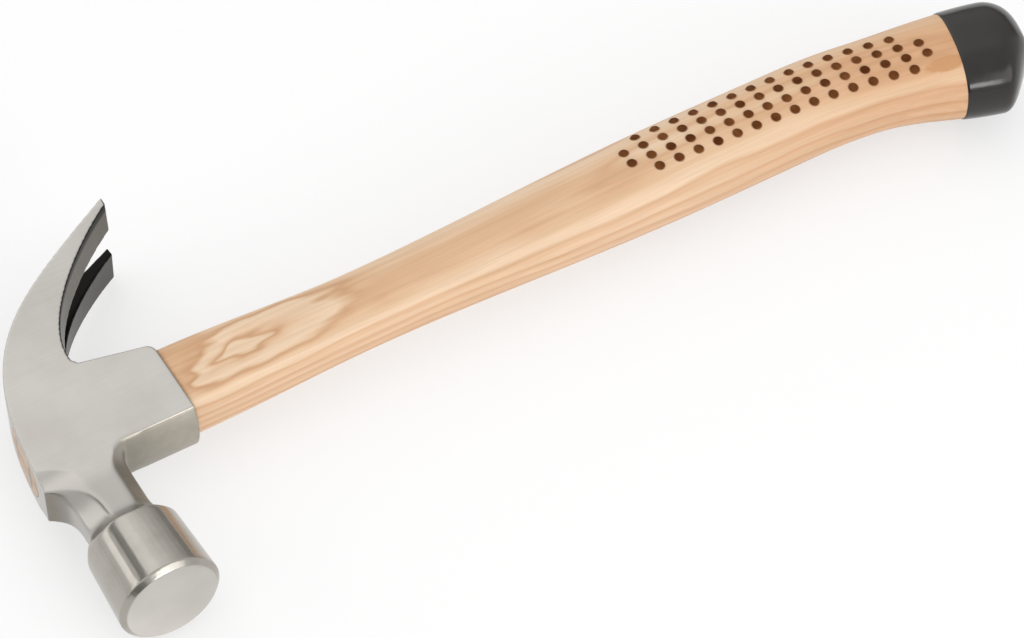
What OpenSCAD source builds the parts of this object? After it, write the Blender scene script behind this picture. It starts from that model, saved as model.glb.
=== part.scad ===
// Claw hammer lying on its side: forged steel head, wedged ash handle, dipped grip end.
// X runs down the handle, Y from the striking face to the claws, Z through the flat cheeks.
// Sizes of the head are measured from the eye axis (along X) and the striking axis (along Y).

/* [Claws] */
// Eye axis to the claw tips
claw_reach = 74.5; // [73:0.5:76]
// Striking axis down to the claw tips
claw_drop = 51; // [50:0.5:52]
// Thickness of the claws at their tips
claw_tip_t = 3.8; // [3.4:0.1:4.4]
// Setback of the lower edge of the tips along the handle
claw_tip_lean = 1.5; // [1:0.1:2]
// Width across the claw tips
claw_spread = 41; // [39:0.5:43]
// Eye axis to the line where the cheeks start to flare into the claws
flare_start = 20; // [18:0.5:22]
// Width of the nail slot at the claw tips
slot_mouth_w = 14; // [13:0.25:15]
// Width of the nail slot at its round root
slot_root_w = 2.2; // [2:0.1:3]
// Eye axis to the root of the nail slot
slot_root_reach = 24; // [23.5:0.25:25]
// Slope of the undersides of the claws, from the slot up to their outer edges
claw_under_a = 5; // [4:0.25:6]

/* [Poll] */
// Eye axis to the striking face
face_reach = 75; // [74:0.5:78]
// Diameter of the bell at the striking face
bell_d = 36.4; // [35.8:0.1:37]
// Diameter of the bell at its back edge
bell_back_d = 33.8; // [33:0.1:34.4]
// Eye axis to the back edge of the bell
bell_back_reach = 47; // [46.6:0.1:47.6]
// Chamfer round the striking face
face_chamfer = 2; // [1.5:0.1:2.5]
// Striking axis to the top of the neck
neck_top = 12.4; // [12:0.1:12.8]
// Striking axis to the underside of the neck
neck_under = 11; // [10.6:0.1:11.4]
// Radius by which the neck opens into the bell
neck_flare_r = 10.5; // [10.2:0.1:12]
// Tilt of the scallops beside the crown from the cheeks
crown_scallop_a = 11; // [10:0.5:12]
// Striking axis to the bottom of those scallops
crown_scallop = 11.3; // [11.1:0.1:11.5]
// Amount by which they close in towards the bell
crown_scallop_fall = 0.4; // [0.2:0.1:0.6]
// Eye axis to their bottom
crown_scallop_reach = 21; // [20.5:0.25:21.5]
// Radius of the scallops beside the crown
crown_scallop_r = 17; // [16:0.5:18]
// Tilt of the long scallops in the upper corners of the neck from the cheeks
upper_scallop_a = 36; // [35:0.5:37]
// Striking axis to the bottom of those scallops
upper_scallop = 10.8; // [10.7:0.1:11]
// Eye axis to their bottom
upper_scallop_reach = 37; // [36.5:0.1:37]
// Radius of the long scallops
upper_scallop_r = 24.5; // [24:0.25:25]
// Tilt of the scallops in the lower corners of the neck from the cheeks
lower_scallop_a = 45; // [43:0.5:47]
// Striking axis to the bottom of those scallops
lower_scallop = 11.1; // [10.9:0.1:11.3]
// Eye axis to their bottom
lower_scallop_reach = 25.5; // [25:0.25:26]
// Radius of the scallops in the lower corners
lower_scallop_r = 13.5; // [13:0.25:14]

/* [Eye block] */
// Thickness of the head between its flat cheeks
cheek_t = 20.5; // [20:0.25:21.5]
// Striking axis up to the crown
crown_h = 18.5; // [18.2:0.1:18.8]
// Eye axis to the front of the crown
crown_front = 20; // [19.5:0.25:20.5]
// Length of the rise from the neck to the crown
crown_rise_l = 15; // [14:0.25:16]
// Striking axis down to the rim of the eye block
rim_drop = 40; // [38:0.5:42]
// Eye axis to the front edge of the cheeks
block_front = 15; // [14.8:0.1:15.4]
// Bulge of the front of the eye block between those edges
block_bulge = 2.6; // [2.2:0.1:2.8]
// Eye axis to the back of the eye block at its rim
block_back = 16.4; // [16:0.1:17]
// Radius of the corner at the back of the rim
rim_corner_r = 4; // [3:0.25:5]
// Radius between the front of the eye block and the neck
block_fillet_r = 6; // [5:0.25:7]
// Thickness of the eye at its waist, on the striking axis
eye_waist_t = 14.4; // [13.8:0.1:14.8]
// Thickness of the eye at the rim and at the crown
eye_mouth_t = 16; // [15.6:0.1:16.4]
// Distance between the centres of the eye's round ends
eye_centres = 10.6; // [10:0.1:11]

/* [Handle] */
// Length of the handle from the rim of the eye block, along its middle line
handle_l = 338.5; // [332:0.5:346]
// Middle line to the claw side at the shoulder under the rim
shoulder_back = 16; // [15:0.1:16.2]
// Middle line to the face side at the shoulder
shoulder_front = 14.8; // [14:0.1:15]
// Thickness at the shoulder
shoulder_t = 18.4; // [17:0.1:19]
// Width at the slim waist
waist_w = 27.6; // [26:0.1:29]
// Thickness at the slim waist
waist_t = 18.8; // [18:0.1:20]
// Width at the fullest part of the grip
grip_w = 35.4; // [34:0.1:37]
// Thickness at the fullest part of the grip
grip_t = 26.4; // [25:0.1:28]
// Width in front of the knob
heel_w = 35; // [34:0.1:36]
// Thickness in front of the knob
heel_t = 26.2; // [25:0.1:27]
// Middle line to the claw side at the knob
knob_back = 22.2; // [21.5:0.1:23]
// Middle line to the face side at the knob
knob_front = 21.3; // [20:0.1:22]
// Middle line to the face side at the end of the handle
end_front = 12.4; // [12:0.1:14]
// Thickness of the knob
knob_t = 31.6; // [30:0.1:32.5]
// Angle by which the grip end bends to the striking side
bend_a = 15.4; // [14:0.2:16.4]
// Radius of that bend
bend_r = 200; // [190:1:210]
// Radius of the edge at the end of the handle
end_round_r = 12; // [10:0.25:13]
// Length of the dipped end
dip_l = 28; // [25:0.5:31]
// Thickness of the dip
dip_t = 0.4; // [0.3:0.05:0.6]

/* [Grip dots] */
// Number of dots along the two middle rows of each side
dot_columns = 16; // [12:1:16]
// Distance between dots along the handle
dot_pitch = 7.9; // [7:0.1:8]
// Distance between rows
row_pitch = 5.5; // [5:0.1:5.6]
// Diameter of a dot
dot_d = 3.5; // [3:0.1:4]
// Depth of a dot
dot_depth = 0.7; // [0.5:0.05:1]
// Shift of the rows to the claw side at their first dot
dot_shift = 3; // [1:0.25:3.5]
// Shift of the rows to the face side at their last dot
dot_end_shift = 0.8; // [0:0.1:1]

/* [Wedges] */
// Thickness of the wooden wedge at the crown
wood_wedge_t = 3.6; // [3:0.1:4]
// Depth of the wooden wedge below the crown
wood_wedge_l = 30; // [26:0.5:34]
// Thickness of a steel wedge at the crown
steel_wedge_t = 2.2; // [1.8:0.1:2.6]
// Depth of a steel wedge below the crown
steel_wedge_l = 18; // [15:0.5:22]
// Width of a steel wedge
steel_wedge_w = 11; // [9:0.25:12]
// Distance between the steel wedges
steel_wedge_pitch = 13; // [11:0.25:14]

/* [Hidden] */
$fn = 64;
// Clearance of the handle and the wedges in their seats
fit_gap = 0.05;
// Length by which cuts run past what they cut, and solids into what they join
overrun = 2;
// Reach of the profiles that are cut from all round
span = 140;
// Steps along each curve of an outline
curve_steps = 24;
// Steps past the claw tips, and the share of a step between points of the underside and of its slope
tip_steps = 3;
between_share = 0.5;
// Corners round the handle, rings along it, and rings round its end
ring_corners = 40;
body_steps = 36;
end_steps = 5;
// Thickness of a wedge at its point, as a share of its thickness at the crown
wedge_point_share = 0.25;
// Guide points of the claws, as shares of their drop and reach
claw_back_shares = [[-0.307, 0.553], [-0.03, 0.64]];
claw_under_shares = [[0.283, 0.286], [0.193, 0.555], [0.821, 0.868]];
// Guide points of the rise to the crown, as shares of its length and of its height
crown_rise_shares = [[0.5, 0], [0.9, 0.2]];
// Guide points of the flare, as shares of its length and of its spread
flare_shares = [[0.22, 0], [0.55, 0.52]];
// Places of the waist, grip, heel and knob, of the bend and of the first dot, as shares of the handle
waist_share = 0.21;
grip_share = 0.6;
heel_share = 0.817;
knob_share = 0.963;
bend_share = 0.7355;
dot_share = 0.533;
// Squareness of the handle's sections, where 2 is an ellipse and more is squarer
shoulder_square = 4.5;
waist_square = 3;
grip_square = 2.5;
knob_square = 2.3;
// Rows of dots on each side, and how many dots the outer rows lack at each end
dot_rows = 4;
outer_row_lack = 1;

half_cheek = cheek_t / 2;
half_spread = claw_spread / 2;
bell_r = bell_d / 2;
// Half of the stock that the bell is turned from
stock = bell_r + overrun;
bulge_r = (half_cheek * half_cheek + block_bulge * block_bulge) / (2 * block_bulge);
// Inset of the edge at the end of the handle, which leaves some of its width
end_inset = min(end_round_r, end_front - overrun);

// Place along the handle, reach to the claw side and to the face side, half thickness and squareness
stations = [
    [0, shoulder_back, shoulder_front, shoulder_t / 2, shoulder_square],
    [waist_share, waist_w / 2, waist_w / 2, waist_t / 2, waist_square],
    [grip_share, grip_w / 2, grip_w / 2, grip_t / 2, grip_square],
    [heel_share, heel_w / 2, heel_w / 2, heel_t / 2, grip_square],
    [knob_share, knob_back, knob_front, knob_t / 2, knob_square],
    [1, knob_back, end_front, knob_t / 2, knob_square]
];

// Points of a cubic curve with four guide points, at steps counted from its start
function cubic_at(p, step) = let (t = step / curve_steps, u = 1 - t)
    u * u * u * p[0] + 3 * u * u * t * p[1] + 3 * u * t * t * p[2] + t * t * t * p[3];
function cubic(p) = [for (i = [0:curve_steps]) cubic_at(p, i)];

// Points of an arc that leaves a line at [place, level] and rises from it, forwards or backwards
function rising_arc(place, level, r, rise, way) = let (sweep = acos(1 - rise / r))
    [for (i = [0:curve_steps]) let (a = sweep * i / curve_steps)
        [place + way * r * sin(a), level + r * (1 - cos(a))]];

function backwards(list) = [for (i = [len(list) - 1:-1:0]) list[i]];
function flipped(list) = [for (p = list) [p[0], -p[1]]];
// A run of [place, level] points as points of the side view, above or below the striking axis
function side_run(list, way) = [for (p = list) [way * p[1], p[0]]];
// Place where a flat of the neck starts to open, so that it comes to the back edge of the bell
function flare_place(level) =
    neck_flare_r * sin(acos(1 - (bell_back_d / 2 - level) / neck_flare_r)) - bell_back_reach;
function neck_flare(level) = rising_arc(flare_place(level), level, neck_flare_r, stock - level, -1);

// Guide points of the underside of the claws at the middle of the head, from the root to the tips
claw_under = [
    for (share = claw_under_shares) [share[0] * claw_drop, share[1] * claw_reach],
    [claw_drop - claw_tip_lean + half_spread * tan(claw_under_a), claw_reach - claw_tip_t]
];

// Side view of the eye block and the claws, from the crown round the rim, with nothing cut from the poll
function block_outline() = concat(
    [[-stock, -face_reach - overrun], [-stock, -bell_back_reach], [-crown_h, -bell_back_reach]],
    cubic([
        [-crown_h, -crown_front],
        for (share = claw_back_shares) [share[0] * claw_drop, share[1] * claw_reach],
        [claw_drop, claw_reach]
    ]),
    backwards(cubic(claw_under)),
    [for (i = [0:curve_steps]) let (a = 90 - 90 * i / curve_steps)
        [rim_drop - rim_corner_r * (1 - cos(a)), block_back - rim_corner_r * (1 - sin(a))]],
    [[rim_drop, -face_reach - overrun]]
);

// Rise from the neck to the crown, in [place, level]
function crown_rise() = let (
    length = min(crown_rise_l, -flare_place(neck_top) - crown_front),
    height = crown_h + overrun - neck_top
) cubic([for (share = [[0, 0], each crown_rise_shares, [1, 1]])
    [(share[0] - 1) * length - crown_front, neck_top + share[1] * height]]);

// Side view of the poll, from the crown round the bell to the front of the eye block
function poll_outline() = concat(
    [[-crown_h - overrun, 0]],
    side_run(backwards(crown_rise()), -1),
    side_run(neck_flare(neck_top), -1),
    [[-stock, -face_reach - overrun], [stock, -face_reach - overrun]],
    side_run(backwards(neck_flare(neck_under)), 1),
    side_run(rising_arc(-block_front - block_fillet_r, neck_under, block_fillet_r, block_fillet_r, 1), 1),
    [[neck_under + block_fillet_r, 0]]
);

// View from the crown: flat cheeks, flaring to the claws and to the bell
function plan_run() = let (flare_l = claw_reach - flare_start, flare_h = half_spread - half_cheek) concat(
    [[claw_reach + overrun, half_spread]],
    backwards(cubic([
        [flare_start, half_cheek],
        for (s = flare_shares) [flare_start + s[0] * flare_l, half_cheek + s[1] * flare_h],
        [claw_reach, half_spread]
    ])),
    neck_flare(half_cheek),
    [[-face_reach - overrun, stock]]
);

// View along a scallop in a corner of the neck, which runs out on the cheek and opens into the bell
function scallop_outline(level, fall, reach, r) = let (bottom = max(-reach, flare_place(level - fall))) concat(
    [[span, -span], [span, span], [bottom + r, span]],
    backwards(rising_arc(bottom, level, r, r, 1)),
    neck_flare(level - fall),
    [[-face_reach - overrun, stock], [-face_reach - overrun, -span]]
);

// Turns an outline in [Y, Z] into a profile that runs right through along X
module through_x() {
    rotate([90, 0, 90]) linear_extrude(2 * span, center = true) children();
}

// Turns an outline in [X, Y] into a profile that runs right through along Z
module through_z() {
    linear_extrude(2 * span, center = true) children();
}

// What two scallops, one on each cheek, leave of the head
module scallop_pair(tilt, level, fall, reach, r) {
    intersection_for (side = [0, 1])
        mirror([0, 0, side]) rotate([0, tilt, 0]) through_x() polygon(scallop_outline(level, fall, reach, r));
}

// Everything inside the turned bell and clear of the rest of the head
module bell_profile() {
    rotate([90, 0, 0]) rotate_extrude() polygon([
        [0, -span],
        [span, -span],
        [span, bell_back_reach - neck_flare_r],
        [bell_back_d / 2, bell_back_reach - neck_flare_r],
        [bell_back_d / 2, bell_back_reach],
        [bell_r, face_reach - face_chamfer],
        [bell_r - face_chamfer, face_reach],
        [0, face_reach]
    ]);
}

// Everything behind the rounded front of the eye block
module block_form() {
    translate([-span, bulge_r - block_front - block_bulge, 0]) {
        rotate([0, 90, 0]) cylinder(r = bulge_r, h = 2 * span);
        translate([0, 0, -span]) cube(2 * span);
    }
}

// The poll, which runs on into the eye block
module poll_form() {
    intersection() {
        through_z() polygon(poll_outline());
        scallop_pair(lower_scallop_a, lower_scallop, 0, lower_scallop_reach, lower_scallop_r);
        bell_profile();
    }
}

// What is cut from under a claw to slope it, by points between those of the underside and past the tip
module claw_slope() {
    under = [for (i = [0:curve_steps + tip_steps]) cubic_at(claw_under, i + between_share)];
    rotate([0, -claw_under_a, 0]) through_z()
        polygon(concat(under, [[span, claw_reach + overrun], [span, under[0][1]]]));
}

module nail_slot() {
    through_x() union() {
        polygon([
            [slot_root_reach + slot_root_w / 2, -slot_root_w / 2],
            [claw_reach + overrun, -slot_mouth_w / 2],
            [claw_reach + overrun, slot_mouth_w / 2],
            [slot_root_reach + slot_root_w / 2, slot_root_w / 2]
        ]);
        translate([slot_root_reach + slot_root_w / 2, 0]) circle(d = slot_root_w);
    }
}

// A length of the eye from one thickness to another
module eye_length(start, start_t, end, end_t) {
    for (side = [-1, 1])
        translate([start, side * eye_centres / 2, 0])
            rotate([0, 90, 0]) cylinder(d1 = start_t, d2 = end_t, h = end - start);
    rotate([90, 0, 0]) linear_extrude(eye_centres, center = true)
        polygon([[start, -start_t / 2], [end, -end_t / 2], [end, end_t / 2], [start, start_t / 2]]);
}

// The eye, narrowest at the striking axis, or the tenon in it when made smaller all round
module eye_form(less) {
    eye_length(-crown_h - overrun, eye_mouth_t - 2 * less, 0, eye_waist_t - 2 * less);
    eye_length(0, eye_waist_t - 2 * less, rim_drop + overrun, eye_mouth_t - 2 * less);
}

// Everything below the crown, which trims the handle and the wedges flush
module below_crown() {
    through_z() polygon(block_outline());
    translate([0, -span, -span]) cube(2 * span);
}

module tenon() {
    intersection() {
        eye_form(fit_gap);
        below_crown();
    }
}

// Outline of a wedge driven in from the crown, in [depth, thickness]
module wedge_outline(t, l, more) {
    polygon([
        [-crown_h - overrun, -t / 2 - more],
        [l - crown_h + more, -t * wedge_point_share / 2 - more],
        [l - crown_h + more, t * wedge_point_share / 2 + more],
        [-crown_h - overrun, t / 2 + more]
    ]);
}

module wood_wedge_form(more) {
    rotate([90, 0, 0]) linear_extrude(span, center = true) wedge_outline(wood_wedge_t, wood_wedge_l, more);
}

module steel_wedge_form(way, more) {
    translate([0, way * steel_wedge_pitch / 2, 0])
        linear_extrude(steel_wedge_w + 2 * more, center = true)
            wedge_outline(steel_wedge_t, steel_wedge_l, more);
}

// Reach to both sides, half thickness and squareness of the handle, blended between its stations
function section(s) = let (
    share = min(max(s / handle_l, 0), 1),
    i = max([for (k = [0:len(stations) - 2]) if (stations[k][0] <= share) k]),
    t = (share - stations[i][0]) / (stations[i + 1][0] - stations[i][0]),
    blend = t * t * (3 - 2 * t)
) [for (k = [1:4]) stations[i][k] * (1 - blend) + stations[i + 1][k] * blend];

// Place and heading of the middle line: straight, a bend, and straight again
bend_start = bend_share * handle_l;
bend_l = bend_r * bend_a * PI / 180;
function spine(s) = let (
    a = min(max(s - bend_start, 0), bend_l) / bend_l * bend_a,
    tail = max(s - bend_start - bend_l, 0),
    lead = min(s, bend_start)
) [
    rim_drop + fit_gap + lead + bend_r * sin(a) + tail * cos(a),
    -bend_r * (1 - cos(a)) - tail * sin(a),
    a
];

// A ring of corners square to the middle line at s, drawn in or let out all round
function ring(s, out) = let (at = spine(s), size = section(s)) [
    for (i = [0:ring_corners - 1]) let (
        c = cos(360 * i / ring_corners),
        d = sin(360 * i / ring_corners),
        v = (size[c > 0 ? 0 : 1] + out) * sign(c) * pow(abs(c), 2 / size[3]),
        w = (size[2] + out) * sign(d) * pow(abs(d), 2 / size[3])
    ) [at[0] + v * sin(at[2]), at[1] + v * cos(at[2]), w]
];

// Rings round the end of the handle, let out all round
function end_rings(out) = [for (i = [0:end_steps]) let (a = 90 * i / end_steps)
    ring(handle_l - end_round_r + (end_round_r + out) * sin(a), (end_inset + out) * cos(a) - end_inset)];

// Rings evenly from one place to another, without the last
function body_rings(start, end, count, out) =
    [for (i = [0:count - 1]) ring(start + (end - start) * i / count, out)];

module loft(rings) {
    n = ring_corners;
    last = len(rings) - 1;
    polyhedron(
        points = [for (r = rings) for (p = r) p],
        faces = concat(
            [[for (j = [0:n - 1]) j]],
            [for (i = [0:last - 1]) for (j = [0:n - 1]) let (k = (j + 1) % n)
                each [[i * n + j, (i + 1) * n + j, (i + 1) * n + k], [i * n + j, (i + 1) * n + k, i * n + k]]],
            [[for (j = [n - 1:-1:0]) last * n + j]]
        )
    );
}

dip_start = handle_l - dip_l;
handle_rings = concat(
    body_rings(0, handle_l - end_round_r, body_steps, 0),
    end_rings(0)
);
// The dip is a cup: from its inner bottom out to the rim and back round the outside
dip_rings = concat(
    backwards(end_rings(fit_gap)),
    backwards(body_rings(dip_start, handle_l - end_round_r, end_steps, fit_gap)),
    body_rings(dip_start, handle_l - end_round_r, end_steps, dip_t),
    end_rings(dip_t)
);

// One dot: square to the surface, at a place along the middle line and straight across from it
module dot(s, across) {
    size = section(s);
    at = spine(s);
    reach = size[across > 0 ? 0 : 1];
    share = abs(across) / reach;
    height = size[2] * pow(1 - pow(share, size[3]), 1 / size[3]);
    lean_across = sign(across) * pow(share, size[3] - 1) / reach;
    lean_up = pow(height / size[2], size[3] - 1) / size[2];
    translate([at[0], at[1] + across, height])
        rotate([0, 0, -at[2]]) rotate([-atan2(lean_across, lean_up), 0, 0])
            translate([0, 0, -dot_depth]) cylinder(d = dot_d, h = dot_depth + overrun, $fn = 24);
}

module dots() {
    for (row = [0:dot_rows - 1]) {
        lack = (row == 0 || row == dot_rows - 1) ? outer_row_lack : 0;
        for (column = [lack:dot_columns - 1 - lack]) {
            along = column / (dot_columns - 1);
            shift = dot_shift * (1 - along) - dot_end_shift * along;
            dot(dot_share * handle_l + column * dot_pitch, (row - (dot_rows - 1) / 2) * row_pitch + shift);
        }
    }
}

// Moves the hammer from its own axes to the middle of its box, standing on the lower claw
x_start = -max(crown_h, bell_r);
x_end = max([for (r = dip_rings) for (p = r) p[0]]);
module placed() {
    translate([-(x_start + x_end) / 2, (face_reach - claw_reach) / 2, half_spread]) children();
}

module head() {
    color("silver") placed() difference() {
        intersection() {
            through_z() polygon(block_outline());
            through_x() polygon(concat(plan_run(), backwards(flipped(plan_run()))));
            scallop_pair(
                -crown_scallop_a, crown_scallop, crown_scallop_fall, crown_scallop_reach, crown_scallop_r
            );
            scallop_pair(-upper_scallop_a, upper_scallop, 0, upper_scallop_reach, upper_scallop_r);
            union() {
                block_form();
                poll_form();
            }
        }
        for (side = [0, 1]) mirror([0, 0, side]) claw_slope();
        nail_slot();
        eye_form(0);
    }
}

module handle() {
    color("burlywood") placed() difference() {
        union() {
            tenon();
            loft(handle_rings);
        }
        wood_wedge_form(fit_gap);
        for (way = [-1, 1]) steel_wedge_form(way, fit_gap);
        dots();
        mirror([0, 0, 1]) dots();
    }
}

module wood_wedge() {
    color("tan") placed() difference() {
        intersection() {
            tenon();
            wood_wedge_form(0);
        }
        for (way = [-1, 1]) steel_wedge_form(way, fit_gap);
    }
}

module steel_wedge(way) {
    color("dimgray") placed() intersection() {
        steel_wedge_form(way, 0);
        below_crown();
    }
}

module end_dip() {
    color("#2b2a28") placed() loft(dip_rings);
}

head();
handle();
wood_wedge();
steel_wedge(-1);  // steel_wedge_front
steel_wedge(1);  // steel_wedge_back
end_dip();
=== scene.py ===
import math

import bmesh
import bpy
import numpy as np
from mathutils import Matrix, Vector


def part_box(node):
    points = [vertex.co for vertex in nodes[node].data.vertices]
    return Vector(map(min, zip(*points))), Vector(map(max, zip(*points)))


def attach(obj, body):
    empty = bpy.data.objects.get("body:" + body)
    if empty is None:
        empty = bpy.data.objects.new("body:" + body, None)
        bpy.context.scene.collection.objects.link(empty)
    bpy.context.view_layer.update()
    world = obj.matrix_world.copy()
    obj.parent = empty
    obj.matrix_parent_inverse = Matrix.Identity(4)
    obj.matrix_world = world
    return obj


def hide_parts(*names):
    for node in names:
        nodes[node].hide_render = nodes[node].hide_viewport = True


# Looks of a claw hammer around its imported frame: steel head, ash handle, wedges and dipped end.
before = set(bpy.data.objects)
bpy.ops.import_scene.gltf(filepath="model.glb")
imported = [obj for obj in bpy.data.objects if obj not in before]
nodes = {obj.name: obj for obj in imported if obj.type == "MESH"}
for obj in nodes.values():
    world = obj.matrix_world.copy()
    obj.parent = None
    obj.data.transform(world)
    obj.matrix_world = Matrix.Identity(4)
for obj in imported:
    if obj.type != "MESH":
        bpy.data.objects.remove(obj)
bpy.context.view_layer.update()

# Millimetres in a metre, and degrees in a half turn
MM = 1000
HALF_TURN = 180

# Sizes of the head in metres, from the striking axis along X and the eye axis along Y
FACE_REACH = 0.075
FACE_CHAMFER = 0.002
BELL_R = 0.0182
CROWN_H = 0.0185
BELL_BACK_REACH = 0.047
RIM_DROP = 0.040
CLAW_REACH = 0.0745
SLOT_ROOT_REACH = 0.024
SLOT_ROOT_W = 0.0022
SLOT_MOUTH_W = 0.014
HEAD_VOXEL = 0.00036
HEAD_SMOOTHING = 7
NECK_SMOOTHING = 60
WELD = 1e-6

# Where the surfaces of the head begin and end, in metres: a pair is the two ends of a soft step
NECK_BELL_ENDS = (-0.052, -0.048)
NECK_BLOCK_ENDS = (-0.026, -0.019)
NECK_TONE_ENDS = (-0.028, -0.020)
FILLET_LOW_ENDS = (0.008, 0.010)
FILLET_HIGH_ENDS = (0.017, 0.021)
FILLET_FRONT_ENDS = (-0.016, -0.0135)
POLL_ENDS = (-BELL_BACK_REACH - 0.001, -BELL_BACK_REACH + 0.002)
FACE_ENDS = (BELL_R - FACE_CHAMFER - 0.0002, BELL_R - FACE_CHAMFER + 0.0004)
FACE_DEPTH = 0.0015
CHAMFER_ENDS = (-FACE_REACH + 0.0016, -FACE_REACH + 0.0024)
CLAW_ENDS = (0.004, 0.014)
FRONT_ENDS = (-0.035, -0.028)
CROWN_ENDS = (-0.016, -0.013)
CROWN_BASE = -0.004
# The slot and its tail, which carry painted shade, and the painted dark reflection along the upper claw's
# edge, in metres and shares of their width
SLOT_MARGIN = 0.001
SLOT_ROOT_ZONE = 0.003
TAIL_START = 0.015
TAIL_END = SLOT_ROOT_REACH + 0.004
TAIL_HALF_WIDTHS = (0.0003, 0.0018)
TAIL_FADE_SHARES = (0.7, 1.3)
EDGE_STEPS = 40
EDGE_CURVE_DEGREE = 4
EDGE_WIDTHS = (0.0006, 0.0034)
EDGE_FADE_SHARES = (0.8, 1.3)

# How far a surface of the head has to face a way to count, as the two ends of a soft step
UNDER_FACING = (0.05, 0.55)
FRONT_FACING = (0.4, 0.8)
CROWN_FACING = (0.1, 0.4)
# Where the crown faces up, its painted shade is lessened by this share
CROWN_UP_FACING = (0.45, 0.75)
CROWN_UP_SHARE = 0.8
EDGE_FACING = (0.1, 0.35)
SLOT_FACING = (0.3, 0.7)
TAIL_FACING = 0.2

# How bright each surface of the head is beside its cheeks, with painted shade on the block front, crown,
# undersides, claws, claw edge and slot and painted light on the face, and how olive and how smooth some of
# them are
NECK_TONE = 0.76
POLL_TONE = 0.73
CHAMFER_TONE = 0.68
# Painted light on the face, brighter towards one side, by these places and levels
FACE_LIGHT_TILT = 0.6
FACE_LIGHT_PLACES = (-0.018, 0, 0.018)
FACE_PAINTED_LIGHT = (1.24, 1.0, 0.92)
# Painted shade on the block front, darkest nearest the eye's axis
FRONT_SHADE_PLACES = (0.014, 0.032)
FRONT_PAINTED_SHADE = (0.56, 0.76)
# Painted shade on the crown's scallops
CROWN_PAINTED_SHADE = 0.5
# Painted shade on the undersides, darker under the claws and darkest under the lower claw
UNDER_PAINTED_SHADE = 0.66
UPPER_CLAW_PAINTED_SHADE = 0.26
LOWER_CLAW_PAINTED_SHADE = 0.13
# Painted dark reflection along the upper claw's outer edge
EDGE_PAINTED_REFLECTION = 0.025
# Painted shade in the nail slot
SLOT_PAINTED_SHADE = 0.02
UNDER_OLIVE = 0.6
POLL_OLIVE = 0.5
NECK_SMOOTHNESS = 0.6

# Sizes of the handle in metres
HANDLE_L = 0.3385
BEND_SHARE = 0.7355
BEND_START = BEND_SHARE * HANDLE_L
BEND_R = 0.200
BEND_A = math.radians(15.4)
END_ROUND_R = 0.012
END_INSET = 0.0104
DIP_L = 0.028
DIP_T = 0.0004
DIP_LIP_L = 0.0012
FIT_GAP = 0.00005
# Share of the handle, reach to the claw side and to the face side, half thickness, squareness
STATIONS = np.array([
    [0.000, 0.0160, 0.0148, 0.0092, 4.5],
    [0.210, 0.0138, 0.0138, 0.0094, 3.0],
    [0.600, 0.0177, 0.0177, 0.0132, 2.5],
    [0.817, 0.0175, 0.0175, 0.0131, 2.5],
    [0.963, 0.0222, 0.0213, 0.0158, 2.3],
    [1.000, 0.0222, 0.0124, 0.0158, 2.3],
])
RING_CORNERS = 288
RING_STEP = 0.0015
DOT_RING_STEP = 0.0003
END_RINGS = 16
END_INNER_SHARES = (0.75, 0.5, 0.25)
LIP_RINGS = 7
GRAIN_HALF_T = 0.0094

# Sizes of the grip dots in metres, and where their walls and their char end as shares of their radius
DOT_SHARE = 0.533
DOT_START = DOT_SHARE * HANDLE_L
DOT_COLUMNS = 16
DOT_ROWS = 4
DOT_PITCH = 0.0079
ROW_PITCH = 0.0055
DOT_SHIFT = 0.003
DOT_END_SHIFT = 0.0008
DOT_R = 0.00175
DOT_DEPTH = 0.0007
DOT_WALL_SHARES = (0.75, 1.1)
DOT_CHAR_SHARES = (0.98, 1.22)
CHAR_LIMIT = 0.4
OUTER_ROW_LACK = 1

# Materials: a noise is its stretch, in turns per millimetre along X, Y and Z, and its detail.
# Relief is in metres.
NOISE_ROUGHNESS = 0.5
NOISE_MEAN = 0.5
NOISE_ENDS = (0.2, 0.8)
NOISE_STOPS = (0.3, 0.7)
# Sockets of a colour mix, by their places
MIX_SHARE_IN = 0
MIX_FIRST_IN = 6
MIX_SECOND_IN = 7
MIX_COLOUR_OUT = 2

# Steel of the head
BRUSH_NOISE = ((0.06, 2.4, 2.4), 3)
CLOUD_NOISE = ((0.05, 0.05, 0.05), 4)
MOTTLE_NOISE = ((0.22, 0.22, 0.22), 5)
STEEL_COLOURS = ((0.555, 0.527, 0.49), (0.615, 0.588, 0.553))
OLIVE_TINTS = ((0.92, 0.89, 0.79), (1.04, 1.02, 0.95))
BRUSH_LEVELS = [(0.25, 0.91), (0.75, 1.0)]
BRUSH_RELIEF = 0.000012
GROUND_SMOOTHNESS = 0.5
GROUND_SHARES = (1.0, 0.06)
STEEL_ROUGHNESS = 0.38
BRUSH_ROUGHNESS = 0.2
POLISH = 0.16

# Ash of the handle: stretches are along, across and up the handle, and places are in millimetres
ASH_SPECULAR = 0.4
CHAR_SPECULAR = 0.05
RING_SPACING = 3.6
RING_RISE = 0.003
LONG_WARP_NOISE = ((0.009, 0.07, 0.05), 2)
LONG_WARP = (-2.6, 2.4)
SHORT_WARP_NOISE = ((0.035, 0.16, 0.16), 1)
SHORT_WARP = (-0.45, 0.45)
ARCH_SLANT = 0.9
ARCH_TAIL = 0.5
SLANT_NOISE = ((0.07, 0.22, 0.1), 1)
SLANT_WARP = (-6.0, 6.0)
WANDER_NOISE = ((0.06, 0.2, 0.12), 1)
WANDER = (-4.0, 4.0)
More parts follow.
